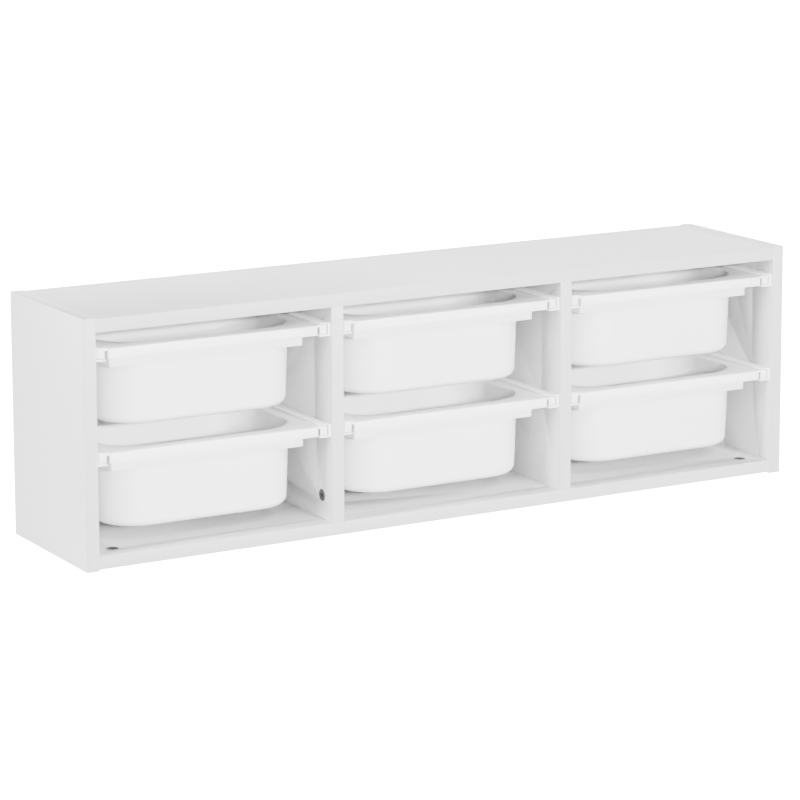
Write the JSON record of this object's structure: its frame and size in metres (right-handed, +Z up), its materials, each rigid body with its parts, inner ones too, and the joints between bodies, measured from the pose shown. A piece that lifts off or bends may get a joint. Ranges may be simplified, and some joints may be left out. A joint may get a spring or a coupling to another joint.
{
  "type": "wall shelf",
  "caption": "Low white wall shelf with side-by-side bays and shallow hanging tubs that slide out on channel runners.",
  "frame": {"origin": "middle of the base, on the plane of the side panels' feet", "axes": "+X to the right along the length, +Y from the open front towards the wall, +Z up"},
  "size_m": [0.99, 0.21, 0.3],
  "materials": {
    "board": "white foil on particle board, satin",
    "back_board": "white painted fibreboard, matt",
    "tub_plastic": "white moulded polypropylene, fine satin",
    "runner_plastic": "white moulded plastic, satin",
    "cam_zinc": "dark cast zinc",
    "plated_steel": "zinc plated",
    "beech": "raw beech",
    "bracket_steel": "light grey powder coat"
  },
  "bodies": {
    "carcass": {"side_panel_left": "board", "side_panel_right": "board", "top_panel": "board", "bottom_panel": "board", "partition_left": "board", "partition_right": "board", "back_panel": "back_board", "runner_upper_left_bay_l": "runner_plastic", "runner_upper_left_bay_r": "runner_plastic", "runner_upper_middle_bay_l": "runner_plastic", "runner_upper_middle_bay_r": "runner_plastic", "runner_upper_right_bay_l": "runner_plastic", "runner_upper_right_bay_r": "runner_plastic", "runner_lower_left_bay_l": "runner_plastic", "runner_lower_left_bay_r": "runner_plastic", "runner_lower_middle_bay_l": "runner_plastic", "runner_lower_middle_bay_r": "runner_plastic", "runner_lower_right_bay_l": "runner_plastic", "runner_lower_right_bay_r": "runner_plastic", "cam_locks": "cam_zinc", "cam_bolts": "plated_steel", "dowels": "beech", "runner_screws": "plated_steel", "wall_bracket_left": "bracket_steel", "wall_bracket_right": "bracket_steel", "bracket_screws": "plated_steel"},
    "tub_upper_left": {"tub_upper_left": "tub_plastic"},
    "tub_upper_middle": {"tub_upper_middle": "tub_plastic"},
    "tub_upper_right": {"tub_upper_right": "tub_plastic"},
    "tub_lower_left": {"tub_lower_left": "tub_plastic"},
    "tub_lower_middle": {"tub_lower_middle": "tub_plastic"},
    "tub_lower_right": {"tub_lower_right": "tub_plastic"}
  },
  "joints": [
    {"name": "slide_upper_left", "type": "slide", "parent": "carcass", "child": "tub_upper_left", "axis": [0, -1, 0], "range_m": [0, 0.205]},
    {"name": "slide_upper_middle", "type": "slide", "parent": "carcass", "child": "tub_upper_middle", "axis": [0, -1, 0], "range_m": [0, 0.205]},
    {"name": "slide_upper_right", "type": "slide", "parent": "carcass", "child": "tub_upper_right", "axis": [0, -1, 0], "range_m": [0, 0.205]},
    {"name": "slide_lower_left", "type": "slide", "parent": "carcass", "child": "tub_lower_left", "axis": [0, -1, 0], "range_m": [0, 0.205]},
    {"name": "slide_lower_middle", "type": "slide", "parent": "carcass", "child": "tub_lower_middle", "axis": [0, -1, 0], "range_m": [0, 0.205]},
    {"name": "slide_lower_right", "type": "slide", "parent": "carcass", "child": "tub_lower_right", "axis": [0, -1, 0], "range_m": [0, 0.205]}
  ]
}
